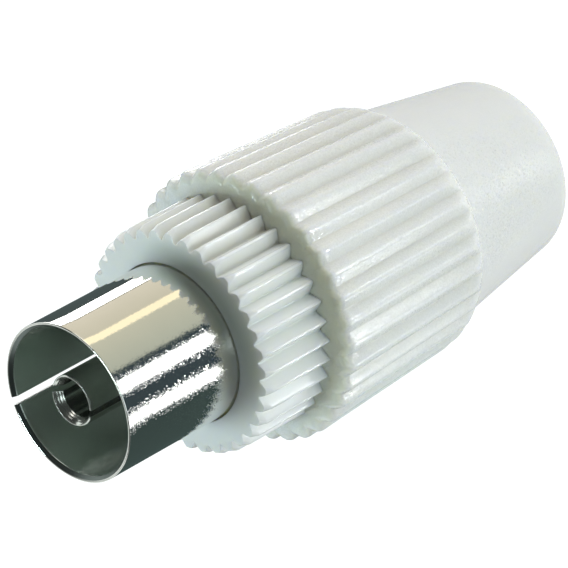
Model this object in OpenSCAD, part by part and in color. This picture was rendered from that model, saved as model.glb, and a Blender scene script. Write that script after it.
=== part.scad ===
// Line socket for a coaxial aerial cable: a thin slit sleeve around a slotted centre
// contact, held in a toothed collar that screws into a ribbed plastic housing.
// It stands on the housing's tail. The axis is Z and the sleeve's mouth is on top.

/* [Sleeve] */
// Outside diameter of the sleeve
sleeve_d = 10.2; // [10:0.1:10.4]
// Thickness of the sleeve's sheet
sleeve_t = 0.35; // [0.3:0.05:0.4]
// Length of sleeve that stands out of the collar
sleeve_out = 9.1; // [8.5:0.1:10]
// Width of the slit where the rolled sheet's edges face each other
seam_w = 0.5; // [0.3:0.05:1.2]
// Direction of the slit around the axis
seam_angle = 266; // [0:1:359]
// Thickness of the rim turned out at the sleeve's hidden end
sleeve_rim = 0.4; // [0.3:0.05:0.5]
// Width of that rim
rim_w = 0.4; // [0.35:0.05:0.45]

/* [Centre contact] */
// Outside diameter of the contact's tube
contact_d = 3.25; // [3.2:0.05:3.5]
// Bore that takes the plug's pin
contact_bore_d = 2.4; // [2.3:0.05:2.5]
// Depth of the tube's mouth below the sleeve's mouth
contact_recess = 0.3; // [0.2:0.1:1]
// Depth of the bore
contact_bore_h = 9; // [8.6:0.1:9.2]
// Depth of the funnel that leads into the bore
funnel_h = 0.5; // [0.3:0.05:0.8]
// Width of the two slots in the tube
slot_w = 0.45; // [0.3:0.05:0.6]
// Length of the two slots
slot_h = 7; // [5:0.5:8]
// Direction of the slots around the axis
slot_angle = 56; // [0:1:179]
// Diameter of the contact's barrel behind the insulator
barrel_d = 4.4; // [4:0.1:4.8]
// Length of that barrel
contact_tail = 6.5; // [6:0.1:7]
// Hole that takes the cable's core
core_d = 1.3; // [1.1:0.1:1.5]
// Depth of that hole
core_h = 5; // [4.5:0.1:5.5]
// Diameter of the screw that clamps the core
screw_d = 1.6; // [1.4:0.1:1.8]
// Height of the screw above the barrel's end
screw_up = 2.5; // [2:0.1:3]

/* [Insulator] */
// Depth from the sleeve's mouth to the insulator's front face
mating_depth = 9.4; // [9:0.1:9.8]
// Thickness of the insulator's rim
insulator_rim = 1.5; // [1.2:0.1:1.8]

/* [Collar] */
// Diameter over the collar's teeth
collar_d = 14.86; // [14.7:0.02:15.2]
// Length of the toothed band
collar_h = 5.44; // [5.14:0.1:6.04]
// Number of teeth
tooth_count = 36; // [32:4:40]
// Depth of the teeth
tooth_depth = 0.73; // [0.5:0.01:0.8]
// Flat left on each tooth's crest
tooth_flat = 0.1; // [0.06:0.01:0.16]
// Fall of the collar's face from the sleeve to the teeth
face_fall = 0.15; // [0:0.05:0.3]
// Slope across the teeth's front ends, measured along the radius
tooth_slope = 0.25; // [0.1:0.05:0.4]
// Slope across the teeth's front ends, measured along the axis
tooth_slope_h = 0.55; // [0.35:0.1:0.85]
// Thickness of the web around the sleeve
web_h = 2.8; // [2.6:0.1:3]
// Diameter of the screwed spigot below its thread
spigot_d = 12.1; // [12:0.1:12.4]
// Length of the screwed spigot
spigot_h = 6.5; // [6:0.1:7]

/* [Housing] */
// Diameter over the ribs at the front of the ribbed barrel
ribbed_d = 17.82; // [17.4:0.02:18.2]
// Diameter over the ribs where the shoulder begins
ribbed_rear_d = 16.63; // [16.43:0.02:17.03]
// Length of the ribbed barrel
ribbed_h = 11.8; // [11.4:0.1:12.4]
// Number of ribs
rib_count = 36; // [36:4:40]
// Turn of the ribs against the collar's teeth
rib_turn = -1; // [-5:0.5:5]
// Depth of the grooves between the ribs
rib_depth = 0.37; // [0.25:0.02:0.45]
// Width of each groove at the ribs' crests
groove_w = 1.3; // [1.1:0.02:1.3]
// Rounding of the barrel's front edge
front_round = 0.65; // [0.4:0.05:0.8]
// Rounding of the shoulder
shoulder_r = 2.65; // [2.5:0.05:3.2]
// Height of the shoulder
shoulder_h = 2; // [1.8:0.1:2.2]
// Diameter of the tail below the shoulder
tail_d = 14.64; // [14:0.02:14.7]
// Diameter of the tail at its end, before the end is rounded
tail_end_d = 11.46; // [11:0.02:12]
// Length of the tail
tail_h = 10.5; // [10:0.1:11.5]
// Rounding of the tail's end
end_round = 1.75; // [1.25:0.05:1.8]
// Hole in the tail for the cable
cable_d = 7.2; // [6.8:0.1:7.4]
// Thickness of the tail's end wall
end_wall = 2.5; // [2:0.1:3]
// Thickness of the tail's side wall
tail_wall = 1.6; // [1.4:0.1:1.8]

/* [Cable clamp] */
// Height of the clamp's ring
clamp_ring_h = 2.2; // [2:0.1:2.6]
// Length of the clamp with its claws
clamp_h = 12; // [11:0.5:13]
// Thickness of the clamp's sheet
clamp_t = 0.6; // [0.5:0.05:0.7]
// Space between the claws
claw_gap = 2.6; // [2.4:0.1:3]
// Inside radius at the tips of the claws
claw_tip_r = 3.4; // [3.3:0.1:3.6]

/* [Fits] */
// Gap between the collar and the housing's front face
collar_gap = 0.06; // [0.05:0.01:0.15]
// Clearance around the sleeve in the collar's web
sleeve_fit = 0.08; // [0.06:0.01:0.1]
// Gap above and below the rims that are caught in the collar
rim_gap = 0.12; // [0.1:0.01:0.15]
// Overlap that catches the insulator's rim in the collar
snap_catch = 0.2; // [0.15:0.01:0.25]
// Clearance around the cable clamp in the collar
clamp_fit = 0.15; // [0.1:0.01:0.2]
// Room for the two threads between the spigot and the housing
thread_fit = 0.35; // [0.3:0.01:0.4]
// Space left below the spigot's end
spigot_run = 1; // [0.5:0.1:1.5]
// Clearance around the core screw
screw_fit = 0.04; // [0.03:0.01:0.06]

/* [Hidden] */
$fn = 96;
eps = 0.5;
sleeve_r = sleeve_d / 2;
sleeve_bore_r = sleeve_r - sleeve_t;
contact_r = contact_d / 2;
contact_bore_r = contact_bore_d / 2;
core_r = core_d / 2;
collar_r = collar_d / 2;
spigot_r = spigot_d / 2;
cable_r = cable_d / 2;

// Heights up the axis, from the tail's end to the sleeve's mouth
ribbed_z = tail_h + shoulder_h;
front_z = ribbed_z + ribbed_h;
collar_z = front_z + collar_gap;
face_z = collar_z + collar_h;
mouth_z = face_z + sleeve_out;
tooth_top_z = face_z - face_fall;
web_z = face_z - web_h;
sleeve_z = web_z - rim_gap - sleeve_rim;
insulator_z = sleeve_z - insulator_rim;
insulator_top_z = mouth_z - mating_depth;
groove_z = insulator_z - rim_gap;
spigot_z = collar_z - spigot_h;
contact_z = insulator_z - contact_tail;
contact_top_z = mouth_z - contact_recess;
screw_z = contact_z + screw_up;
claw_z = insulator_z - clamp_ring_h;
clamp_z = insulator_z - clamp_h;

// Radii inside the collar, from the sleeve outwards
rim_r = sleeve_r + rim_w;
groove_r = rim_r + rim_gap;
snap_r = rim_r - snap_catch;
clamp_r = snap_r - clamp_fit;

// Housing: slopes, and the points where the rounded edges leave them
ribbed_r = ribbed_d / 2;
ribbed_rear_r = ribbed_rear_d / 2;
ribbed_slope = (ribbed_r - ribbed_rear_r) / ribbed_h;
ribbed_angle = atan(ribbed_slope);
front_cz = front_z - front_round;
front_tz = front_cz - front_round * sin(ribbed_angle);
front_tr = ribbed_rear_r + (front_tz - ribbed_z) * ribbed_slope;
front_cr = front_tr - front_round * cos(ribbed_angle);
shoulder_cr = ribbed_rear_r - shoulder_r * cos(ribbed_angle);
shoulder_cz = ribbed_z + shoulder_r * sin(ribbed_angle);
tail_r = tail_d / 2;
tail_end_r = tail_end_d / 2;
tail_slope = (tail_r - tail_end_r) / tail_h;
tail_angle = atan(tail_slope);
end_tz = end_round * (1 - sin(tail_angle));
end_tr = tail_end_r + end_tz * tail_slope;
end_cr = end_tr - end_round * cos(tail_angle);
thread_r = spigot_r + thread_fit;
thread_z = spigot_z - spigot_run;
cavity_r = tail_end_r + end_wall * tail_slope - tail_wall;
cavity_top_r = tail_r - tail_wall;
lead = 0.3;
groove_lift = 0.03;
// Extra radius with which a rounding crosses the faces that it joins
blend = 0.0002;

// Outline of the housing: tail and barrel with cut corners, and discs that round those corners
module housing_outline() {
    polygon([
        [0, 0],
        [end_cr, 0],
        [end_tr, end_tz],
        [tail_r + shoulder_h * tail_slope, ribbed_z],
        [0, ribbed_z]
    ]);
    polygon([
        [0, ribbed_z],
        [ribbed_rear_r, ribbed_z],
        [front_tr, front_tz],
        [front_cr, front_z],
        [0, front_z]
    ]);
    translate([end_cr, end_round]) circle(end_round + blend);
    translate([shoulder_cr, shoulder_cz]) circle(shoulder_r + blend);
    translate([front_cr, front_cz]) circle(front_round + blend);
}

// Inside of the housing: cable hole, hollow tail and screwed bore
module housing_hollow() {
    polygon([
        [0, -eps],
        [cable_r + lead + eps, -eps],
        [cable_r, lead],
        [cable_r, end_wall],
        [cavity_r, end_wall],
        [cavity_top_r, tail_h],
        [cavity_top_r, thread_z],
        [thread_r, thread_z],
        [thread_r, front_z - lead],
        [thread_r + lead + eps, front_z + eps],
        [0, front_z + eps]
    ]);
}

// One groove between two ribs: it follows the barrel's slope and runs out on the shoulder
module rib_groove() {
    top_w = groove_w / 2 * (1 + groove_lift / rib_depth);
    translate([ribbed_rear_r, 0, ribbed_z])
        rotate([0, ribbed_angle, 0])
            translate([0, 0, -shoulder_h])
                linear_extrude(shoulder_h + ribbed_h + eps)
                    polygon([[-rib_depth, 0], [groove_lift, -top_w], [groove_lift, top_w]]);
}

module rear_housing() {
    color([0.93, 0.94, 0.92])
        difference() {
            rotate_extrude()
                difference() {
                    housing_outline();
                    housing_hollow();
                }
            for (i = [0 : rib_count - 1])
                rotate([0, 0, rib_turn + (i + 0.5) * 360 / rib_count]) rib_groove();
        }
}

// Cross-section of the toothed band: straight-sided teeth with narrow crests and roots
module tooth_outline() {
    step = 360 / tooth_count;
    root_r = collar_r - tooth_depth;
    crest_a = tooth_flat / collar_r * 90 / PI;
    root_a = tooth_flat / root_r * 90 / PI;
    corners = [
        [collar_r, -crest_a],
        [collar_r, crest_a],
        [root_r, step / 2 - root_a],
        [root_r, step / 2 + root_a]
    ];
    polygon([
        for (i = [0 : tooth_count - 1])
            for (p = corners)
                [p[0] * cos(i * step + p[1]), p[0] * sin(i * step + p[1])]
    ]);
}

// Inside of the collar: snap bore, groove for the rims, and the hole in the web
module collar_hollow() {
    polygon([
        [0, spigot_z - eps],
        [snap_r + lead + eps, spigot_z - eps],
        [snap_r, spigot_z + lead],
        [snap_r, groove_z],
        [groove_r, groove_z],
        [groove_r, web_z],
        [sleeve_r + sleeve_fit, web_z],
        [sleeve_r + sleeve_fit, face_z + eps],
        [0, face_z + eps]
    ]);
}

module front_collar() {
    over = 0.2;
    color([0.93, 0.94, 0.92])
        difference() {
            union() {
                intersection() {
                    translate([0, 0, collar_z]) linear_extrude(collar_h) tooth_outline();
                    rotate_extrude()
                        polygon([
                            [0, collar_z - eps],
                            [collar_r + over, collar_z - eps],
                            [collar_r + over, tooth_top_z - tooth_slope_h * (1 + over / tooth_slope)],
                            [collar_r - tooth_slope, tooth_top_z],
                            [sleeve_r, face_z],
                            [0, face_z]
                        ]);
                }
                rotate_extrude()
                    polygon([
                        [0, spigot_z],
                        [spigot_r - lead, spigot_z],
                        [spigot_r, spigot_z + lead],
                        [spigot_r, collar_z + eps],
                        [0, collar_z + eps]
                    ]);
            }
            rotate_extrude() collar_hollow();
        }
}

module outer_sleeve() {
    edge = sleeve_t * 0.3;
    color([0.78, 0.77, 0.74])
        difference() {
            rotate_extrude()
                polygon([
                    [sleeve_bore_r, sleeve_z],
                    [rim_r, sleeve_z],
                    [rim_r, sleeve_z + sleeve_rim],
                    [sleeve_r, sleeve_z + sleeve_rim],
                    [sleeve_r, mouth_z - edge],
                    [sleeve_r - edge, mouth_z],
                    [sleeve_bore_r + edge, mouth_z],
                    [sleeve_bore_r, mouth_z - edge]
                ]);
            rotate([0, 0, seam_angle])
                translate([sleeve_r / 2, -seam_w / 2, sleeve_z - eps])
                    cube([sleeve_r, seam_w, mouth_z - sleeve_z + 2 * eps]);
        }
}

module insulator() {
    color([0.13, 0.13, 0.12])
        rotate_extrude()
            polygon([
                [contact_r, insulator_z],
                [rim_r, insulator_z],
                [rim_r, sleeve_z],
                [sleeve_bore_r, sleeve_z],
                [sleeve_bore_r, insulator_top_z],
                [contact_r, insulator_top_z]
            ]);
}

module centre_contact() {
    edge = 0.05;
    rim = 0.04;
    funnel_r = contact_r - edge - rim;
    color([0.82, 0.79, 0.7])
        difference() {
            rotate_extrude()
                polygon([
                    [0, contact_z],
                    [barrel_d / 2, contact_z],
                    [barrel_d / 2, insulator_z],
                    [contact_r, insulator_z],
                    [contact_r, contact_top_z - edge],
                    [contact_r - edge, contact_top_z],
                    [funnel_r, contact_top_z],
                    [contact_bore_r, contact_top_z - funnel_h],
                    [contact_bore_r, contact_top_z - contact_bore_h],
                    [0, contact_top_z - contact_bore_h]
                ]);
            rotate([0, 0, slot_angle])
                translate([-contact_d, -slot_w / 2, contact_top_z - slot_h])
                    cube([2 * contact_d, slot_w, slot_h + eps]);
            translate([0, 0, contact_z - eps]) cylinder(r = core_r, h = core_h + eps);
            translate([0, 0, screw_z])
                rotate([0, 90, 0]) cylinder(r = screw_d / 2 + screw_fit, h = barrel_d);
        }
}

module core_screw() {
    tip_x = core_r + 0.1;
    end_x = barrel_d / 2 + 0.5;
    driver_w = 0.3;
    driver_h = 0.4;
    color([0.7, 0.7, 0.68])
        difference() {
            translate([tip_x, 0, screw_z])
                rotate([0, 90, 0]) cylinder(r = screw_d / 2, h = end_x - tip_x);
            translate([end_x - driver_h, -screw_d, screw_z - driver_w / 2])
                cube([1, 2 * screw_d, driver_w]);
        }
}

module cable_clamp() {
    hook = 0.3;
    hook_h = 0.5;
    color([0.78, 0.77, 0.74])
        difference() {
            rotate_extrude()
                polygon([
                    [clamp_r - clamp_t, insulator_z],
                    [clamp_r - clamp_t, claw_z],
                    [claw_tip_r, clamp_z + hook_h + hook],
                    [claw_tip_r - hook, clamp_z + hook_h],
                    [claw_tip_r - hook, clamp_z],
                    [claw_tip_r + clamp_t, clamp_z],
                    [clamp_r, claw_z],
                    [clamp_r, insulator_z]
                ]);
            for (a = [0, 90])
                rotate([0, 0, a])
                    translate([-2 * clamp_r, -claw_gap / 2, clamp_z - eps])
                        cube([4 * clamp_r, claw_gap, clamp_h - clamp_ring_h + eps]);
        }
}

rear_housing();
front_collar();
outer_sleeve();
insulator();
centre_contact();
core_screw();
cable_clamp();
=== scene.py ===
# %% [markdown]
# # A coaxial socket: looks
# The socket's solids come from the imported part, in metres, standing on the tail with the axis along Z.
# This lesson dresses them: finer moulded shells, a mirror-bright sleeve, two screw threads and a studio.

# %% Load the frame
import math
import bmesh
import bpy
import numpy as np
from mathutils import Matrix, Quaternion, Vector


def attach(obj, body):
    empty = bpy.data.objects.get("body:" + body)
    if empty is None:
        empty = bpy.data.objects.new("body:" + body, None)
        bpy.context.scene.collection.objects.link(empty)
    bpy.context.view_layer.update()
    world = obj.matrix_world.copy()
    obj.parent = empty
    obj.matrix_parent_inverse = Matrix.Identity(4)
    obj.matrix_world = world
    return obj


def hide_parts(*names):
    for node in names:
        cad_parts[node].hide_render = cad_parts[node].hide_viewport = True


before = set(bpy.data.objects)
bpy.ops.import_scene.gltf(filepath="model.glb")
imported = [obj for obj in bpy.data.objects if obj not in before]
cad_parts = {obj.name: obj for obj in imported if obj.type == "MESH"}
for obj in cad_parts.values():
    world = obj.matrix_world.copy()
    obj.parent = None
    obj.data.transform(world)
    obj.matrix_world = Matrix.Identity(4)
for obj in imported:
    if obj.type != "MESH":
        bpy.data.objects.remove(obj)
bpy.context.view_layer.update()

MM = 0.001
print("solids:", sorted(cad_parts))

# %% [markdown]
# ## The sizes
# The shells below are turned afresh, so the sizes that the solids were drawn from are repeated here, in
# millimetres. A name that ends in _z is a height up the axis from the tail's end, and one in _r is a radius.
# Keeping them by name shows which edge of the real part each one is.

# %% Sizes of the socket
# Rear housing
front_z, ribbed_z, thread_z, tail_h, end_wall = 24.3, 12.5, 16.86, 10.5, 2.5
ribbed_r, ribbed_rear_r, tail_r, tail_end_r = 8.91, 8.315, 7.32, 5.73
thread_r, cavity_top_r, cavity_r, cable_r = 6.4, 5.72, 4.51, 3.6
front_round, shoulder_r, end_round, lead = 0.65, 2.65, 1.75, 0.3
rib_count, rib_turn, rib_depth, groove_w = 36, -1.0, 0.37, 1.3
# Front collar
face_z, tooth_top_z, web_z, groove_z, collar_z, spigot_z = 29.8, 29.65, 27.0, 24.86, 24.36, 17.86
collar_r, spigot_r, groove_r, snap_r, web_r = 7.43, 6.05, 5.62, 5.3, 5.18
tooth_count, tooth_depth, tooth_flat, tooth_slope, tooth_slope_h = 36, 0.73, 0.1, 0.25, 0.55
# Sleeve
mouth_z, sleeve_z, sleeve_rim = 38.9, 26.48, 0.4
sleeve_r, sleeve_bore_r, rim_r = 5.1, 4.75, 5.5
seam_w, seam_angle, lip, lead_in, top_fall = 0.5, 266.0, 0.06, 0.22, 0.01
print("length", mouth_z, "mm, over the ribs", 2 * ribbed_r, "mm, over the teeth", 2 * collar_r, "mm")

# %% [markdown]
# ## The camera
# The photograph was taken from the mouth's side with a long lens, so parallel edges stay almost parallel.
# An azimuth, an elevation, a distance and a roll say this in four numbers. The roll is large because the
# socket stands up in this frame, while in the photograph it lies on its side.

# %% Camera at the photograph's viewing angle
view_azimuth, view_elevation, view_roll = 105.2, 38.65, -118.84
view_distance, view_height = 303.5, 20.436
picture_side, focal_pixels, sensor = 568, 5000, 36.0


def put_in_scene(name, data):
    thing = bpy.data.objects.new(name, data)
    bpy.context.collection.objects.link(thing)
    return thing


def toward(azimuth, elevation):
    a, e = math.radians(azimuth), math.radians(elevation)
    return Vector((math.cos(e) * math.cos(a), math.cos(e) * math.sin(a), math.sin(e)))


back = toward(view_azimuth, view_elevation)
roll = Quaternion((0, 0, 1), math.radians(view_roll))
camera = put_in_scene("camera", bpy.data.cameras.new("camera"))
camera.data.sensor_width = sensor
camera.data.lens = sensor * focal_pixels / picture_side
camera.data.clip_start, camera.data.clip_end = 0.01, 10.0
camera.location = Vector((0, 0, view_height * MM)) + back * (view_distance * MM)
camera.rotation_mode = "QUATERNION"
camera.rotation_quaternion = (-back).to_track_quat("-Z", "Y") @ roll
bpy.context.scene.camera = camera
print("camera at", [round(v / MM, 1) for v in camera.location], "mm, lens", round(camera.data.lens), "mm")

# %% [markdown]
# ## Arithmetic on sockets
# A finish is a small calculation that is done at every point of a surface. Written as nodes by hand it is
# long and hard to read, so one class wraps a socket and gives it Python's own signs: each sign adds one Math
# node. A workbench puts every other node: its type, its settings first, then its sockets. It serves materials
# and geometry trees alike.

# %% Workbench for node trees
class Num:
    def __init__(self, bench, socket):
        self.bench, self.socket = bench, socket

    def __add__(self, other): return self.bench.math("ADD", self, other)
    def __radd__(self, other): return self.bench.math("ADD", other, self)
    def __sub__(self, other): return self.bench.math("SUBTRACT", self, other)
    def __rsub__(self, other): return self.bench.math("SUBTRACT", other, self)
    def __mul__(self, other): return self.bench.math("MULTIPLY", self, other)
    def __rmul__(self, other): return self.bench.math("MULTIPLY", other, self)
    def __truediv__(self, other): return self.bench.math("DIVIDE", self, other)
    def __rtruediv__(self, other): return self.bench.math("DIVIDE", other, self)


class Bench:
    def __init__(self, tree):
        self.tree = tree

    def put(self, kind, settings=None, sockets=None):
        node = self.tree.nodes.new(kind)
        for name, value in (settings or {}).items():
            setattr(node, name, value)
        for key, value in (sockets or {}).items():
            if isinstance(value, Num):
                value = value.socket
            if isinstance(value, bpy.types.NodeSocket):
                self.tree.links.new(value, node.inputs[key])
            else:
                node.inputs[key].default_value = value
        return node

    def num(self, kind, settings=None, sockets=None, out=0):
        return Num(self, self.put(kind, settings, sockets).outputs[out])

    def math(self, operation, *values):
        return self.num("ShaderNodeMath", {"operation": operation}, dict(enumerate(values)))

    def clamp(self, value, low=0.0, high=1.0):
        return self.math("MINIMUM", self.math("MAXIMUM", value, low), high)

    def vector(self, operation, sockets):
        return self.put("ShaderNodeVectorMath", {"operation": operation}, sockets).outputs[0]

    def split(self, vector):
        return [Num(self, part) for part in self.put("ShaderNodeSeparateXYZ", None, {0: vector}).outputs]

    def blend(self, part, first, second):
        return self.put("ShaderNodeMix", {"data_type": "RGBA"}, {0: part, 6: first, 7: second}).outputs[2]


print("workbench ready")

# %% [markdown]
# ## The light table
# White plastic on a white ground needs light from all round, or its edges vanish. A sheet of white paper
# would need strong lamps to come out white, so the ground is a light table instead: it glows, stays pure
# white in the picture and fills the ribs from below. Mirror rays see it dimmer, so that gloss on the plastic
# doesn't wash out the shape.

# %% Floor that glows
floor_glow, floor_in_mirror = 1.12, 0.62
floor_r, floor_sides, floor_height = 3000, 96, -0.1


def blank_finish(name):
    finish = bpy.data.materials.new(name)
    finish.use_nodes = True
    finish.node_tree.nodes.clear()
    return finish, Bench(finish.node_tree)


def glow(bench, sockets):
    light = bench.put("ShaderNodeEmission", None, sockets)
    bench.put("ShaderNodeOutputMaterial", None, {"Surface": light.outputs[0]})


def stage_sheet(name, points, faces, finish):
    mesh = bpy.data.meshes.new(name)
    mesh.from_pydata(points, [], faces)
    mesh.materials.append(finish)
    sheet = put_in_scene(name, mesh)
    return sheet


def from_axis(radius, turn, height=0.0):
    return (radius * MM * math.cos(turn), radius * MM * math.sin(turn), height * MM)


light_table, b = blank_finish("light_table")
mirrored = Num(b, b.put("ShaderNodeLightPath").outputs["Is Glossy Ray"])
glow(b, {"Color": (0.97, 1.0, 0.995, 1), "Strength": floor_glow - (floor_glow - floor_in_mirror) * mirrored})
stage_sheet("floor",
            [from_axis(floor_r, math.tau * i / floor_sides, floor_height) for i in range(floor_sides)],
            [list(range(floor_sides))], light_table)
print("floor glows", floor_glow, "and in mirrors", floor_in_mirror)

# %% [markdown]
# ## Three soft boxes
# A soft box high behind the socket lights the faces that look along the axis, and leaves the sleeve's soft
# shade on the collar. A second one, low at the side, gives the ribs their brighter flank. A third, low on the
# camera's side, opens the shadows between the teeth. The room around them is almost dark, or the shapes
# would go flat, and only the camera sees it bright.

# %% Soft boxes and surrounding light
box_distance, box_aim, room_glow = 200, 24, 0.045


def soft_box(name, azimuth, elevation, width, power, colour):
    light = bpy.data.lights.new(name, "AREA")
    light.shape, light.size, light.energy, light.color = "DISK", width * MM, power, colour
    box = put_in_scene(name, light)
    away = toward(azimuth, elevation)
    box.location = Vector((0, 0, box_aim * MM)) + away * (box_distance * MM)
    box.rotation_mode = "QUATERNION"
    box.rotation_quaternion = away.to_track_quat("Z", "Y")
    box.visible_camera = False


soft_box("back_box", -85, 72, 55, 0.19, (0.80, 0.98, 1.0))
soft_box("side_box", 165, 8, 120, 0.078, (1.0, 0.98, 0.95))
soft_box("fill_box", 72, 13, 120, 0.092, (0.84, 0.98, 0.98))

world = bpy.data.worlds.new("studio")
bpy.context.scene.world = world
world.use_nodes = True
world.node_tree.nodes.clear()
sky = Bench(world.node_tree)
seen = Num(sky, sky.put("ShaderNodeLightPath").outputs["Is Camera Ray"])
room = sky.put("ShaderNodeBackground", None, {"Color": (0.88, 1.0, 0.95, 1),
                                              "Strength": room_glow + (1.0 - room_glow) * seen})
sky.put("ShaderNodeOutputWorld", None, {"Surface": room.outputs[0]})
bpy.context.scene.view_settings.view_transform = "Standard"

# %% [markdown]
# ## What the bright sleeve sees
# A polished tube is a picture of the room around it. From this camera every ray that meets the sleeve's
# outside goes on down to the floor, some five centimetres from the axis, and one turn of the tube sweeps the
# floor twice as fast. So a photographer's trick works: dark, white and cream cards lie there in sectors, and
# each becomes a stripe. The outer ring of a card is for the sleeve. Its middle ring, which the foot of the
# sleeve and the collar mirror, and its inner ring, which the barrel mirrors, have their own brightness.
# Only mirror rays see the cards, so they neither show in the picture nor shade the plastic.

# %% Cards that the sleeve mirrors
def card(name, columns):
    rows = len(columns[0])
    faces = [(rows * i + k, rows * i + k + 1, rows * (i + 1) + k + 1, rows * (i + 1) + k)
             for i in range(len(columns) - 1) for k in range(rows - 1)]
    sheet = stage_sheet(name, [point for column in columns for point, _ in column], faces, card_glow)
    tones = sheet.data.color_attributes.new("tone", "FLOAT_COLOR", "POINT")
    for spot, colour in zip(tones.data, (colour for column in columns for _, colour in column)):
        spot.color = [*colour, 1.0]
    sheet.visible_camera = sheet.visible_diffuse = False
    sheet.visible_shadow = sheet.visible_transmission = False


card_glow, b = blank_finish("card_glow")
tone = b.put("ShaderNodeAttribute", {"attribute_name": "tone"})
glow(b, {"Color": tone.outputs["Color"], "Strength": 1.0})

dark_left, dark_thin, dark_low = (0.075, 0.10, 0.10), (0.10, 0.12, 0.11), (0.05, 0.07, 0.08)
white_a, white_b, white_c = (4.5, 4.5, 4.5), (2.4, 2.45, 2.5), (2.2, 2.25, 2.3)
cream = (1.36, 1.22, 0.86)
card_steps = 12
# Each stripe: where it starts and stops in degrees, its first and last colour, then how many times
# brighter its inner and its middle ring are
stripes = [
    (280.0, 226.0, dark_left, dark_left, 4.0, 2.0),
    (226.0, 206.6, white_a, white_a, 0.7, 3.0),
    (206.6, 204.8, dark_thin, dark_thin, 4.0, 2.0),
    (204.8, 166.8, (0.86, 0.80, 0.66), (0.74, 0.70, 0.56), 1.0, 1.0),
    (166.8, 156.2, cream, cream, 1.0, 1.0),
    (156.2, 111.0, (0.68, 0.67, 0.54), (0.53, 0.56, 0.47), 1.0, 1.0),
    (111.0, 99.2, dark_low, dark_low, 8.0, 1.5),
    (99.2, 82.6, white_b, white_b, 1.7, 9.0),
    (82.6, 53.6, dark_low, dark_low, 8.0, 1.5),
    (53.6, 38.2, white_c, white_c, 1.7, 8.0),
    (38.2, -80.0, (0.05, 0.075, 0.072), (0.06, 0.09, 0.085), 8.0, 1.5),
]
for number, (start, stop, first, last, inner, middle) in enumerate(stripes):
    rings = [(21, inner), (34, inner), (36, middle), (41.5, middle), (43, 1.0), (200, 1.0)]
    columns = []
    for i in range(card_steps + 1):
        part = i / card_steps
        turn = math.radians(start + (stop - start) * part)
        tint = [p + (q - p) * part for p, q in zip(first, last)]
        columns.append([(from_axis(r, turn), [t * share for t in tint]) for r, share in rings])
    card("card_%02d" % number, columns)
print(len(stripes), "cards in sectors around the socket")

# %% [markdown]
# ## What the rims and the tail see
# The thin rims look past the floor, so a pale wall stands behind the socket. It darkens upwards, which gives
# the rims a white line on the near side and leaves the far side dark. The tail looks at the floor close
# beside it. One small bright card lies there and lays a soft sheen along the tail, as a window would.

# %% Wall behind the socket, card beside the tail
# The wall's rises are degrees above the height of the mouth, seen from the axis
wall_r, wall_level, wall_turn, wall_step = 300, 39, -75, 12
wall_tones = [(-6, 1.1), (26, 1.1), (34, 0.75), (40, 0.40), (48, 0.10)]
tail_card_r = (6.8, 14.0)
tail_tones = [(78, floor_in_mirror), (86, 1.75), (96, 1.75), (104, floor_in_mirror)]
card("back_wall", [
    [(from_axis(wall_r, math.radians(wall_turn + wall_step * i),
                wall_level + wall_r * math.tan(math.radians(rise))), (t * 0.93, t, t * 0.98))
     for rise, t in wall_tones] for i in range(-6, 7)])
card("tail_card", [
    [(from_axis(r, math.radians(turn)), (t * 0.97, t, t * 0.995)) for r in tail_card_r]
    for turn, t in tail_tones])
print("a pale wall", wall_r, "mm behind the socket and a card beside its tail")

# %% [markdown]
# ## Tools for finishes
# Every finish starts from Object coordinates in millimetres, so a number in it is a real size on the socket.
# Noise varies a finish softly, a bump ripples it, and a ramp lets it change across the socket from one side.
# Facets make it glitter: each tiny cell leans the surface its own way. The lean is cubed, so that most cells
# stay almost flat and only a few flash, as on a real moulded or plated skin.

# %% Helpers for finishes
def new_finish(name):
    finish, bench = blank_finish(name)
    coords = bench.put("ShaderNodeTexCoord").outputs["Object"]
    return finish, bench, bench.vector("SCALE", {0: coords, "Scale": 1 / MM})


def noise(bench, where, scale, detail=2.0, roughness=0.5):
    return bench.num("ShaderNodeTexNoise", None, {"Vector": where, "Scale": scale, "Detail": detail,
                                                  "Roughness": roughness})


def bump(bench, height, distance):
    return bench.put("ShaderNodeBump", None, {"Height": height, "Distance": distance * MM}).outputs[0]


def ramp(bench, x, y, direction, start, gain):
    return bench.clamp((x * direction[0] + y * direction[1] - start) * gain)


def facets(bench, where, scale, tilt):
    cell = bench.put("ShaderNodeTexVoronoi", None, {"Vector": where, "Scale": scale}).outputs["Color"]
    lean = bench.vector("SUBTRACT", {0: cell, 1: (0.5, 0.5, 0.5)})
    cubed = bench.vector("MULTIPLY", {0: bench.vector("MULTIPLY", {0: lean, 1: lean}), 1: lean})
    flat = bench.put("ShaderNodeNewGeometry").outputs["Normal"]
    leaned = bench.vector("ADD", {0: flat, 1: bench.vector("SCALE", {0: cubed, "Scale": tilt})})
    return bench.vector("NORMALIZE", {0: leaned})


def surface(bench, sockets):
    shader = bench.put("ShaderNodeBsdfPrincipled", None, sockets)
    bench.put("ShaderNodeOutputMaterial", None, {"Surface": shader.outputs[0]})


print("finishing helpers ready")

# %% [markdown]
# ## White moulded plastic
# The housing and collar are moulded in a white plastic with a satin skin. A plain white would look like
# paint. What makes it plastic is a faint cloudiness from uneven cooling, a fine grain that the mould leaves,
# crests that handling has burnished, and grooves that are darker towards their roots: a little dust, and
# painted shade in the valleys. The grain is only a change of tone, with facets that glitter on the ribs and
# on one patch of the tail. A little light also travels inside. Painted light and shade is blended over the
# skin.
# The grooves are known from the shells' own attribute, which is stored when the flutes are cut.

# %% Finish: white plastic
# Dust and painted shade in the grooves share this colour
dust_and_shade_tone = (0.74, 0.735, 0.67, 1)


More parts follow.
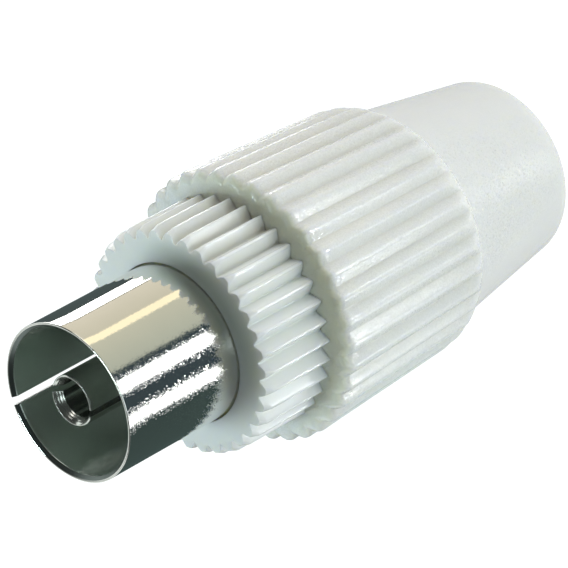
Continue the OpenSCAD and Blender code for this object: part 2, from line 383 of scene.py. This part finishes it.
def moulded_plastic(name, dull, fair, grained, crest, flank, dust_and_shade, painted_shades):
    finish, b, mm = new_finish(name)
    groove = b.num("ShaderNodeAttribute", {"attribute_name": "groove"}, out="Fac")
    x, y, height = b.split(mm)
    cloud = noise(b, mm, 0.22, 3.0)
    grain = noise(b, mm, 9.0, 2.0, 0.6)
    speck = b.num("ShaderNodeTexVoronoi", None, {"Vector": mm, "Scale": 0.8})
    pit = b.clamp(1.0 - speck * 16.0)
    toned = grained * (0.2 + 0.8 * b.clamp(height - 11.0))
    tone = b.clamp(0.5 + (cloud - 0.5) * 0.6 + (grain - 0.5) * toned * 2.6)
    # Darker towards the groove roots and in pits: dust, and painted shade in the valleys
    colour = b.blend(b.clamp(groove * dust_and_shade + pit * 0.5), b.blend(tone, dull, fair), dust_and_shade_tone)
    # Painted light and shade: each share blends a painted colour over the skin
    for share, shade_colour in painted_shades(b, x, y, height, groove):
        colour = b.blend(share, colour, shade_colour)
    ribbed = b.clamp(height - 11.5)
    tail_patch = ramp(b, x, y, (-0.12, 0.99), 5.0, 0.8) * (1.0 - ribbed)
    surface(b, {
        "Base Color": colour,
        "Roughness": crest + b.clamp(groove * 4.0) * flank + grain * 0.08,
        "Normal": facets(b, mm, 12.0, grained * (ribbed * 1.4 + tail_patch * 2.3)),
        "Subsurface Weight": 0.6,
        "Subsurface Radius": (1.0, 0.92, 0.66),
        "Subsurface Scale": 1.1 * MM,
        "IOR": 1.55,
    })
    print(name + ":", len(b.tree.nodes), "nodes")
    return finish


print("white plastic recipe ready")

# %% [markdown]
# ## Two whites with their own painted shade
# The two mouldings differ. The housing has the stronger grain, and on its front face, which the collar
# shades, warm bounce light is painted on one side and darker shade on the upper side. The collar is a cooler
# white. The sleeve's shadow is painted on it as a grey ring on one side of the sleeve, and painted shade
# darkens the grooves and rear ends of its teeth on the upper side. Each painted tone is a share of a colour
# that is blended over the skin, so one function makes both plastics.

# %% Finish: housing and collar
# Painted colours: warm bounce light and shade for the housing's front face, the sleeve's shadow and the
# teeth's shade for the collar
painted_warm_bounce, shaded = (0.97, 0.975, 0.82, 1), (0.74, 0.75, 0.63, 1)
painted_sleeve_shadow, painted_tooth_shade = (0.52, 0.60, 0.54, 1), (0.66, 0.655, 0.60, 1)


def housing_painted_shade(b, x, y, height, groove):
    # Painted warm bounce light on one side of the front face, painted shade on its upper side
    front = b.clamp((height - front_z + 0.4) * 4.0)
    return [(front * ramp(b, x, y, (0.17, 0.98), 1.5, 0.16), painted_warm_bounce),
            (front * ramp(b, x, y, (-0.64, 0.77), 3.0, 0.2), shaded)]


def collar_painted_shade(b, x, y, height, groove):
    # Painted shade: the sleeve's shadow as a grey ring beside it, and the housing's shade on the upper teeth,
    # darkest in their grooves and at their rear ends
    near_sleeve = b.clamp((6.9 - b.math("SQRT", x * x + y * y)) * 0.8)
    tooth_ends = b.clamp((collar_z + 0.9 - height) * 1.6)
    tooth_shade_share = groove * 0.8 + tooth_ends * 0.7
    return [(near_sleeve * ramp(b, x, y, (-0.5, 0.87), 1.8, 0.28) * 0.75, painted_sleeve_shadow),
            (b.clamp(ramp(b, x, y, (-1.0, 0.1), 2.4, 0.25) * tooth_shade_share), painted_tooth_shade)]


housing_plastic = moulded_plastic(
    "housing_plastic", dull=(0.82, 0.823, 0.812, 1), fair=(0.94, 0.943, 0.932, 1),
    grained=1.0, crest=0.06, flank=0.10, dust_and_shade=0.5, painted_shades=housing_painted_shade)
collar_plastic = moulded_plastic(
    "collar_plastic", dull=(0.89, 0.92, 0.905, 1), fair=(0.955, 0.985, 0.97, 1),
    grained=0.1, crest=0.07, flank=0.24, dust_and_shade=0.2, painted_shades=collar_painted_shade)

# %% [markdown]
# ## Nickel
# The sleeve is rolled from sheet and plated with bright nickel. Seen close, the plate isn't a perfect mirror:
# on the side that has been handled most, it is worn, and the edges of reflections break into specks. A bump
# would bend the stripes as well, so tiny facets do it. The bore is duller, the lead-in at the mouth is the
# same metal painted dark as painted shade, and the walls of the slit are rough from the shears. The turned
# contact has fine rings instead.

# %% Finish: nickel plate, turned contact
plate, plate_shade, bore_plate = (0.80, 0.79, 0.75, 1), (0.75, 0.745, 0.71, 1), (0.82, 0.88, 0.82, 1)
# The lead-in is the same metal, painted dark as painted shade
painted_dark_lead_in = (0.16, 0.18, 0.17, 1)
nickel, b, mm = new_finish("nickel")
x, y, _ = b.split(mm)
radius = b.math("SQRT", x * x + y * y)
inside = b.math("LESS_THAN", radius, sleeve_bore_r + lead_in - 0.01)
at_lead_in = inside * b.math("GREATER_THAN", radius, sleeve_bore_r + 0.01)
slit_wall = b.num("ShaderNodeAttribute", {"attribute_name": "cut"}, out="Fac")
worn = ramp(b, x, y, (0.42, 0.91), 0.294, 0.17)
wave = noise(b, mm, 0.5)
bright = b.blend(b.clamp(wave), plate, plate_shade)
surface(b, {
    "Base Color": b.blend(at_lead_in, b.blend(inside, bright, bore_plate), painted_dark_lead_in),
    "Metallic": 1.0,
    "Roughness": 0.03 + wave * 0.03 + b.clamp(inside * 0.30 + slit_wall * 0.5),
    "Normal": facets(b, mm, 30.0, 0.08 + worn * worn * 1.15),
})

contact_metal, b, mm = new_finish("contact_metal")
_, _, height = b.split(mm)
rings = b.math("SINE", height * 42.0 + noise(b, mm, 1.5) * 3.0)
tarnish = noise(b, mm, 0.9, 3.0)
surface(b, {
    "Base Color": b.blend(b.clamp(tarnish * 1.4 - 0.3), (0.76, 0.77, 0.73, 1), (0.66, 0.67, 0.62, 1)),
    "Metallic": 1.0,
    "Roughness": 0.14 + tarnish * 0.12,
    "Normal": bump(b, rings * 0.5 + noise(b, mm, 8.0), 0.003),
})
print("nickel and contact metal ready")

# %% [markdown]
# ## The hidden pieces' finishes
# Inside, a dark plastic disc keeps the contact clear of the sleeve. It is what makes the mouth look deep: the
# bright walls mirror it again and again. A black disc would make a hole, so it is a dark grey. The screw is
# zinc plated steel, with the streaks that rolling leaves.

# %% Finish: dark insulator, zinc plated steel
insulator_plastic, b, mm = new_finish("insulator_plastic")
grain = noise(b, mm, 5.0, 3.0)
flow = noise(b, mm, 0.6)
surface(b, {
    "Base Color": b.blend(b.clamp(flow), (0.22, 0.222, 0.205, 1), (0.27, 0.272, 0.25, 1)),
    "Roughness": 0.42 + grain * 0.2,
    "Normal": bump(b, grain, 0.005),
})

screw_steel, b, mm = new_finish("screw_steel")
stretch = b.put("ShaderNodeMapping", None, {"Vector": mm, "Scale": (1.0, 9.0, 9.0)}).outputs[0]
streak = noise(b, stretch, 2.0, 3.0)
surface(b, {
    "Base Color": b.blend(b.clamp(streak), (0.66, 0.66, 0.63, 1), (0.52, 0.53, 0.53, 1)),
    "Metallic": 1.0,
    "Roughness": 0.22 + streak * 0.18,
    "Normal": bump(b, streak, 0.004),
})
print("insulator and screw finishes ready")

# %% [markdown]
# ## Outlines with eased corners
# Housing, collar and sleeve are round about the axis, so each starts as an outline of radius and height. A
# real mould has no perfectly sharp edge: each corner of the outline is eased with a small curve, and held by
# a point on either side, so that smooth shading stays in the corner and the flats stay flat.

# %% Draw an outline
hold, room_to_hold, curve_steps = 1.6, 2.4, (0, 0.25, 0.5, 0.75, 1)


def way_to(corner, other):
    step = np.array(other[:2]) - corner
    reach = np.linalg.norm(step)
    return step / reach, reach


def eased(corners, longest):
    points = []
    for i, (r, z, ease) in enumerate(corners):
        corner = np.array((r, z))
        if not ease:
            points.append(corner)
            continue
        back_way, back_reach = way_to(corner, corners[i - 1])
        on_way, on_reach = way_to(corner, corners[(i + 1) % len(corners)])
        enter, leave = corner + back_way * ease, corner + on_way * ease
        if back_reach > room_to_hold * ease:
            points.append(corner + back_way * ease * hold)
        for s in curve_steps:
            points.append((1 - s) ** 2 * enter + 2 * s * (1 - s) * corner + s ** 2 * leave)
        if on_reach > room_to_hold * ease:
            points.append(corner + on_way * ease * hold)
    closed = []
    for p, q in zip(points, points[1:] + points[:1]):
        cuts = max(1, int(np.linalg.norm(q - p) / longest))
        closed += [p + (q - p) * k / cuts for k in range(cuts)]
    return np.array(closed)


def arc(centre_r, centre_z, radius, start, stop, steps):
    return [(centre_r + radius * math.cos(a), centre_z + radius * math.sin(a), 0)
            for a in np.radians(np.linspace(start, stop, steps))]


print("outline helpers ready")

# %% [markdown]
# ## Turning a shell
# An outline becomes a shell as a pot does on a wheel. Blender's Screw modifier would space the columns
# evenly, but the flutes that come next need them close together at every edge and far apart on the flats, so
# the columns are listed as offsets from the middle of a crest and repeated around the axis.

# %% Turn an outline
def face_outward(mesh):
    work = bmesh.new()
    work.from_mesh(mesh)
    bmesh.ops.recalc_face_normals(work, faces=work.faces)
    work.to_mesh(mesh)
    work.free()
    mesh.polygons.foreach_set("use_smooth", [True] * len(mesh.polygons))


def solid_from(name, points, faces):
    mesh = bpy.data.meshes.new(name)
    mesh.from_pydata(points, [], faces)
    face_outward(mesh)
    return put_in_scene(name, mesh)


def turned(name, outline, angles):
    rows, cols = len(outline), len(angles)
    spot = np.empty((cols, rows, 3))
    spot[..., 0] = np.cos(angles)[:, None] * outline[:, 0] * MM
    spot[..., 1] = np.sin(angles)[:, None] * outline[:, 0] * MM
    spot[..., 2] = outline[:, 1] * MM
    i, j = np.meshgrid(np.arange(cols), np.arange(rows), indexing="ij")
    i2, j2 = (i + 1) % cols, (j + 1) % rows
    faces = np.stack([i * rows + j, i2 * rows + j, i2 * rows + j2, i * rows + j2], -1).reshape(-1, 4)
    return solid_from(name, spot.reshape(-1, 3).tolist(), faces.tolist())


def around(count, turn, offsets):
    step = 360 / count
    both = sorted(set([-o for o in offsets if 0 < o < step / 2] + list(offsets)))
    return np.radians([turn + n * step + o for n in range(count) for o in both])


print("turning helpers ready")

# %% [markdown]
# ## Trees of geometry nodes
# Ribs, teeth and threads each follow a rule, and a Geometry Nodes tree can say a rule once. Every tree here
# opens with named sizes and closes by setting the finish. The result is then taken as a plain mesh, so that
# nothing has to be worked out again when the socket moves.

# %% Open, close and run a tree
def open_tree(name, wanted):
    tree = bpy.data.node_groups.new(name, "GeometryNodeTree")
    tree.interface.new_socket("Blank", in_out="INPUT", socket_type="NodeSocketGeometry")
    keys = {}
    for title, default in wanted:
        socket = tree.interface.new_socket(title, in_out="INPUT", socket_type="NodeSocketFloat")
        socket.default_value, keys[title] = default, socket.identifier
    finish = tree.interface.new_socket("Finish", in_out="INPUT", socket_type="NodeSocketMaterial")
    keys["Finish"] = finish.identifier
    tree.interface.new_socket("Made", in_out="OUTPUT", socket_type="NodeSocketGeometry")
    bench = Bench(tree)
    given = bench.put("NodeGroupInput").outputs
    return tree, keys, bench, lambda title: Num(bench, given[title])


def close_tree(bench, ask, made):
    real = bench.put("GeometryNodeRealizeInstances", None, {"Geometry": made})
    dressed = bench.put("GeometryNodeSetMaterial", None,
                        {"Geometry": real.outputs[0], "Material": ask("Finish")})
    bench.put("NodeGroupOutput", None, {0: dressed.outputs[0]})


def run_tree(piece, tree, keys, values):
    modifier = piece.modifiers.new(tree.name, "NODES")
    modifier.node_group = tree
    for name, value in values.items():
        modifier[keys[name]] = value
    graph = bpy.context.evaluated_depsgraph_get()
    made = bpy.data.meshes.new_from_object(piece.evaluated_get(graph), preserve_all_data_layers=True,
                                           depsgraph=graph)
    piece.modifiers.remove(modifier)
    piece.data = made
    made.name = piece.name


print("tree helpers ready")

# %% [markdown]
# ## Cutting the flutes
# Ribs and teeth share one rule: nothing may stand outside a fluted cone. For each point of a turned blank the
# tree finds the nearest groove and how deep it is there, and pulls the point in if it stands outside. On a
# rounded shoulder the grooves then run out by themselves, as a moulded one's do. Around the front edge they
# are carried over the rounding instead and fade towards the face. The tree also stores how deep each point
# was cut, for the finish.

# %% Geometry Nodes: flutes on a turned blank
def flute_tree():
    tree, keys, g, ask = open_tree("cut_flutes", [
        ("Count", 36.0), ("Turn", 0.0), ("Crest radius", 0.008), ("Slope", 0.0), ("Depth", 0.0005),
        ("Groove width", 0.001), ("Root width", 0.0), ("Ease", 0.00005), ("Blend", 0.0001),
        ("Front height", 1.0), ("Front fade", 0.0)])
    fade_length = 0.7 * MM
    x, y, z = g.split(g.put("GeometryNodeInputPosition").outputs[0])
    radius = g.math("SQRT", x * x + y * y)
    pitch = math.tau / ask("Count")
    turn = g.math("WRAP", g.math("ARCTAN2", y, x) - ask("Turn"), pitch / 2, pitch / -2)
    crest = ask("Crest radius") + z * ask("Slope")
    aside = (pitch / 2 - g.math("ABSOLUTE", turn)) * crest
    half = ask("Groove width") / 2
    slant = ask("Depth") * (half - aside) / (half - ask("Root width") / 2)
    deep = g.math("SMOOTH_MAX", g.math("SMOOTH_MIN", slant, ask("Depth"), ask("Ease")), 0.0, ask("Ease"))
    cut_through = g.math("SMOOTH_MIN", radius, crest - deep, ask("Blend"))
    carried = radius - deep * g.clamp((radius - ask("Front fade")) / fade_length)
    kept = cut_through + g.math("GREATER_THAN", z, ask("Front height")) * (carried - cut_through)
    share = kept / radius
    moved = g.put("ShaderNodeCombineXYZ", None, {0: x * share, 1: y * share, 2: z})
    stored = g.put("GeometryNodeStoreNamedAttribute", {"data_type": "FLOAT", "domain": "POINT"},
                   {"Geometry": ask("Blank"), "Name": "groove", "Value": (radius - kept) / ask("Depth")})
    cut = g.put("GeometryNodeSetPosition", None,
                {"Geometry": stored.outputs[0], "Position": moved.outputs[0]})
    close_tree(g, ask, cut.outputs[0])
    return tree, keys


flutes, flute_keys = flute_tree()
print("flute rule:", len(flutes.nodes), "nodes")

# %% [markdown]
# ## The housing's outline
# The housing is one moulding: a ribbed barrel to grip, a rounded shoulder and a smooth tapered tail with a
# hole for the cable. Its outline runs from straight slopes into arcs, and each arc has to touch its slope
# without a kink. The centres follow from that. Only the place where the shoulder's arc meets the tail is
# searched for, by halving.

# %% Housing: where slopes and arcs meet
rib_slope = (ribbed_r - ribbed_rear_r) / (front_z - ribbed_z)
rib_lean = math.atan(rib_slope)
tail_slope = (tail_r - tail_end_r) / tail_h
tail_lean = math.atan(tail_slope)
front_cz = front_z - front_round
front_tz = front_cz - front_round * math.sin(rib_lean)
front_cr = ribbed_rear_r + (front_tz - ribbed_z) * rib_slope - front_round * math.cos(rib_lean)
shoulder_cr = ribbed_rear_r - shoulder_r * math.cos(rib_lean)
shoulder_cz = ribbed_z + shoulder_r * math.sin(rib_lean)
end_tz = end_round * (1 - math.sin(tail_lean))
end_cr = tail_end_r + end_tz * tail_slope - end_round * math.cos(tail_lean)
rib_degrees, tail_degrees = math.degrees(rib_lean), math.degrees(tail_lean)


def past_tail(angle):
    a = math.radians(angle)
    r, z = shoulder_cr + shoulder_r * math.cos(a), shoulder_cz + shoulder_r * math.sin(a)
    return r - (tail_r + (z - tail_h) * tail_slope)


low, high = -89.0, -rib_degrees
for _ in range(40):
    halfway = (low + high) / 2
    low, high = (halfway, high) if past_tail(halfway) < 0 else (low, halfway)
shoulder = arc(shoulder_cr, shoulder_cz, shoulder_r, -rib_degrees, high, 30)
shoulder[-1] = (*shoulder[-1][:2], 0.08)
housing_outline = eased(
    [(thread_r + lead, front_z, 0.06)]
    + arc(front_cr, front_cz, front_round, 90, -rib_degrees, 10)
    + shoulder
    + arc(end_cr, end_round, end_round, -tail_degrees, -90, 14)
    + [(cable_r + lead, 0, 0.06), (cable_r, lead, 0.06), (cable_r, end_wall, 0.08), (cavity_r, end_wall, 0),
       (cavity_top_r, tail_h, 0), (cavity_top_r, thread_z, 0.06), (thread_r, thread_z, 0),
       (thread_r, front_z - lead, 0.06)], 1.5)
print("shoulder meets the tail at", round(high, 1), "degrees, outline of", len(housing_outline), "points")

# %% [markdown]
# ## The rear housing
# The outline is turned with extra columns at the edges of every crest, and the flutes are cut into it.
# Modelling 36 grooves one by one would give the same shape with none of the rule.

# %% Housing: turn and flute
front_band, front_fade_r = 2, 7.5
rib_offsets = [0, 0.3, 0.5, 0.7, 0.9, 1.2, 1.7, 3.0, 4.2, 4.7, 5.0]
housing = turned("housing_shell", housing_outline, around(rib_count, rib_turn, rib_offsets))
run_tree(housing, flutes, flute_keys, {
    "Count": float(rib_count), "Turn": math.radians(rib_turn), "Slope": rib_slope,
    "Crest radius": (ribbed_rear_r - ribbed_z * rib_slope) * MM, "Depth": rib_depth * MM,
    "Groove width": groove_w * MM, "Root width": 0.0, "Ease": 0.07 * MM, "Blend": 0.08 * MM,
    "Front height": (front_z - front_band) * MM, "Front fade": front_fade_r * MM,
    "Finish": housing_plastic})
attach(housing, "housing")
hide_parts("rear_housing")
print("housing:", len(housing.data.polygons), "faces")

# %% [markdown]
# ## The front collar
# The collar turns between finger and thumb, so it has a ring of sharp V teeth whose front ends slope back to
# a flat face around the sleeve. The same flute rule cuts it, with a deeper and narrower groove. Behind the
# teeth a spigot goes into the housing, and inside are the groove and lip that catch the sleeve's rim. Screwed
# home, the teeth all but touch the housing: a wider gap would draw a dark line that the real one lacks.

# %% Collar: turn and flute
tooth_rear_z = front_z + 0.015
root_r, root_rise, root_w = collar_r - tooth_depth - 0.06, 0.005, 0.11
tooth_offsets = [0, 0.2, 0.39, 0.6, 0.9, 1.6, 3.0, 4.2, 4.6, 4.8, 5.0]
collar_outline = eased([
    (web_r, face_z, 0.05), (root_r, tooth_top_z + root_rise, 0),
    (collar_r - tooth_slope, tooth_top_z, 0.04), (collar_r, tooth_top_z - tooth_slope_h, 0.05),
    (collar_r, tooth_rear_z, 0.02), (root_r, tooth_rear_z, 0), (spigot_r, tooth_rear_z, 0.05),
    (spigot_r, spigot_z + lead, 0.05), (spigot_r - lead, spigot_z, 0.05), (snap_r + lead, spigot_z, 0.05),
    (snap_r, spigot_z + lead, 0.05), (snap_r, groove_z, 0.04), (groove_r, groove_z, 0), (groove_r, web_z, 0),
    (web_r, web_z, 0.04)], 1.2)
collar = turned("collar_shell", collar_outline, around(tooth_count, 0.0, tooth_offsets))
run_tree(collar, flutes, flute_keys, {
    "Count": float(tooth_count), "Turn": 0.0, "Slope": 0.0, "Crest radius": collar_r * MM,
    "Depth": tooth_depth * MM, "Groove width": (math.tau * collar_r / tooth_count - tooth_flat) * MM,
    "Root width": root_w * MM, "Ease": 0.05 * MM, "Blend": 0.15 * MM, "Finish": collar_plastic})
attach(collar, "collar")
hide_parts("front_collar")
print("collar:", len(collar.data.polygons), "faces")

# %% [markdown]
# ## The two threads
# The collar holds to the housing by a coarse moulded thread: one ridge winds around the spigot, and another
# in the bore lies half a pitch away with room between them. A thread is a path with a rule, because its
# height grows with its turn. So a straight curve is bent to a helix by that rule, and a ridge is swept along
# it that thins at both ends.

# %% Geometry Nodes: wind a thread
def thread_tree():
    tree, keys, g, ask = open_tree("wind_thread", [
        ("Turns", 5.0), ("Pitch", 0.001), ("Radius", 0.006), ("First height", 0.0), ("Ridge", 0.0003)])
    foot_half, crest_half, softness, sunk = 0.36 * MM, 0.08 * MM, 0.06 * MM, -0.35
    line = g.put("GeometryNodeCurvePrimitiveLine")
    path = g.put("GeometryNodeResampleCurve", None, {"Curve": line.outputs[0], "Count": 400})
    along = g.num("GeometryNodeSplineParameter")
    turn = along * ask("Turns") * math.tau
    spot = g.put("ShaderNodeCombineXYZ", None, {
        0: g.math("COSINE", turn) * ask("Radius"), 1: g.math("SINE", turn) * ask("Radius"),
        2: ask("First height") + along * ask("Turns") * ask("Pitch")})
    helix = g.put("GeometryNodeSetPosition", None,
                  {"Geometry": path.outputs[0], "Position": spot.outputs[0]})
    upright = g.put("GeometryNodeSetCurveNormal", {"mode": "Z_UP"}, {"Curve": helix.outputs[0]})
    thin = g.clamp(g.math("MINIMUM", along, 1.0 - along) * ask("Turns") * 3.0, 0.05)
    sized = g.put("GeometryNodeSetCurveRadius", None, {"Curve": upright.outputs[0], "Radius": thin})
    high = ask("Ridge")
    corners = [(high * sunk, foot_half), (high, crest_half), (high, -crest_half), (high * sunk, -foot_half)]
    ridge = g.put("GeometryNodeCurvePrimitiveQuadrilateral", {"mode": "POINTS"}, {
        "Point %d" % (k + 1): g.put("ShaderNodeCombineXYZ", None, {0: across, 1: up}).outputs[0]
        for k, (across, up) in enumerate(corners)})
    soft = g.put("GeometryNodeFilletCurve", {"mode": "POLY"},
                 {"Curve": ridge.outputs[0], "Count": 3, "Radius": softness})
    swept = g.put("GeometryNodeCurveToMesh", None,
                  {"Curve": sized.outputs[0], "Profile Curve": soft.outputs[0], "Fill Caps": True})
    close_tree(g, ask, swept.outputs[0])
    return tree, keys


def wind(name, turns, radius, first, ridge, finish, body):
    piece = put_in_scene(name, bpy.data.meshes.new(name))
    run_tree(piece, threads, thread_keys, {
        "Turns": turns, "Pitch": pitch * MM, "Radius": radius * MM, "First height": first * MM,
        "Ridge": ridge * MM, "Finish": finish})
    face_outward(piece.data)
    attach(piece, body)
    reach = [math.hypot(v.co.x, v.co.y) / MM for v in piece.data.vertices]
    print(name + ":", len(piece.data.polygons), "faces, radius", round(min(reach), 2), "to",
          round(max(reach), 2), "mm")


pitch, ridge_h, first_z = 1.0, 0.27, spigot_z + 0.05
threads, thread_keys = thread_tree()
wind("collar_thread", 4.8, spigot_r, first_z + pitch / 2, ridge_h, collar_plastic, "collar")
wind("housing_thread", 5.8, thread_r, first_z, -ridge_h, housing_plastic, "housing")

# %% [markdown]
# ## The sleeve
# The sleeve is sheet rolled to a tube, with a slit where its edges meet and a rim turned out at the hidden
# end. A mirror shows every facet, so it gets many columns. The slit's walls are parallel, so each point's
# angle depends on its own radius: the columns are spread between the two walls of the slit.

# %% Sleeve: rolled sheet with a slit
sleeve_outline = eased([
    (sleeve_bore_r, sleeve_z, 0.04), (rim_r, sleeve_z, 0.08), (rim_r, sleeve_z + sleeve_rim, 0.08),
    (sleeve_r, sleeve_z + sleeve_rim, 0.05)]
    + arc(sleeve_r - lip, mouth_z - lip, lip, 0, 86, 6)
    + [(sleeve_bore_r + lead_in, mouth_z - top_fall, 0.02),
       (sleeve_bore_r, mouth_z - top_fall - lead_in, 0.04)], 1.0)
cols, rows = 300, len(sleeve_outline)
radii, heights = sleeve_outline[:, 0], sleeve_outline[:, 1]
half_slit = np.arcsin(seam_w / 2 / radii)
share = np.linspace(0, 1, cols)[:, None]
angle = math.radians(seam_angle) + half_slit + share * (math.tau - 2 * half_slit)
spots = np.stack([np.cos(angle) * radii, np.sin(angle) * radii,
                  np.broadcast_to(heights, angle.shape)], -1).reshape(-1, 3) * MM
sides = []
for i in range(cols - 1):
    here, beside = i * rows, (i + 1) * rows
    sides += [[here + j, beside + j, beside + (j + 1) % rows, here + (j + 1) % rows] for j in range(rows)]
last_column = (cols - 1) * rows
sides += [list(range(rows)), [last_column + j for j in reversed(range(rows))]]
sleeve = solid_from("sleeve_tube", spots.tolist(), sides)
print("sleeve:", len(sleeve.data.polygons), "faces")

# %% [markdown]
# ## The slit's walls
# The two walls of the slit are cut, not rolled, so they are flat and meet the tube in sharp edges. They are
# the only faces with more than four corners. An attribute marks them, and the finish makes them rougher.

# %% Sleeve: mark the cut walls
cut_marks = sleeve.data.attributes.new("cut", "FLOAT", "FACE")
for face in sleeve.data.polygons:
    if len(face.vertices) > 4:
        face.use_smooth = False
        cut_marks.data[face.index].value = 1.0
for edge in sleeve.data.edges:
    if all(v < rows for v in edge.vertices) or all(v >= last_column for v in edge.vertices):
        edge.use_edge_sharp = True
sleeve.data.materials.append(nickel)
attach(sleeve, "insert")
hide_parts("outer_sleeve")
print("cut walls:", sum(1 for mark in cut_marks.data if mark.value), "faces")

# %% [markdown]
# ## The small parts
# Contact, insulator, screw and clamp are right as solids, but their edges are knife sharp and would never
# catch the light. A copy of each is merged into one skin, its flats are joined, and its sharp edges are
# bevelled a few hundredths of a millimetre. Weighted normals keep the flats flat.

# %% Copies with bevelled edges
merge_distance, flat_angle, sharp_angle, bevel_steps = 0.0005, 0.5, 30, 3


def bevelled_copy(node, name, width, finish, body):
    work = bmesh.new()
    work.from_mesh(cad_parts[node].data)
    bmesh.ops.remove_doubles(work, verts=work.verts, dist=merge_distance * MM)
    bmesh.ops.dissolve_limit(work, angle_limit=math.radians(flat_angle), verts=work.verts, edges=work.edges)
    sharp = [e for e in work.edges if e.is_manifold and e.calc_face_angle() > math.radians(sharp_angle)]
    bmesh.ops.bevel(work, geom=sharp, offset=width * MM, segments=bevel_steps, profile=0.5, affect="EDGES",
                    clamp_overlap=True)
    mesh = bpy.data.meshes.new(name)
    work.to_mesh(mesh)
    work.free()
    mesh.polygons.foreach_set("use_smooth", [True] * len(mesh.polygons))
    mesh.materials.append(finish)
    piece = put_in_scene(name, mesh)
    modifier = piece.modifiers.new("flat_flats", "WEIGHTED_NORMAL")
    modifier.weight = 100
    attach(piece, body)
    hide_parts(node)
    return piece


contact = bevelled_copy("centre_contact", "contact_tube", 0.03, contact_metal, "insert")
disc = bevelled_copy("insulator", "insulator_disc", 0.05, insulator_plastic, "insert")
screw = bevelled_copy("core_screw", "core_grub_screw", 0.04, screw_steel, "screw")
clamp = bevelled_copy("cable_clamp", "claw_ring", 0.06, nickel, "insert")
print("bevelled:", {o.name: len(o.data.polygons) for o in (contact, disc, screw, clamp)})
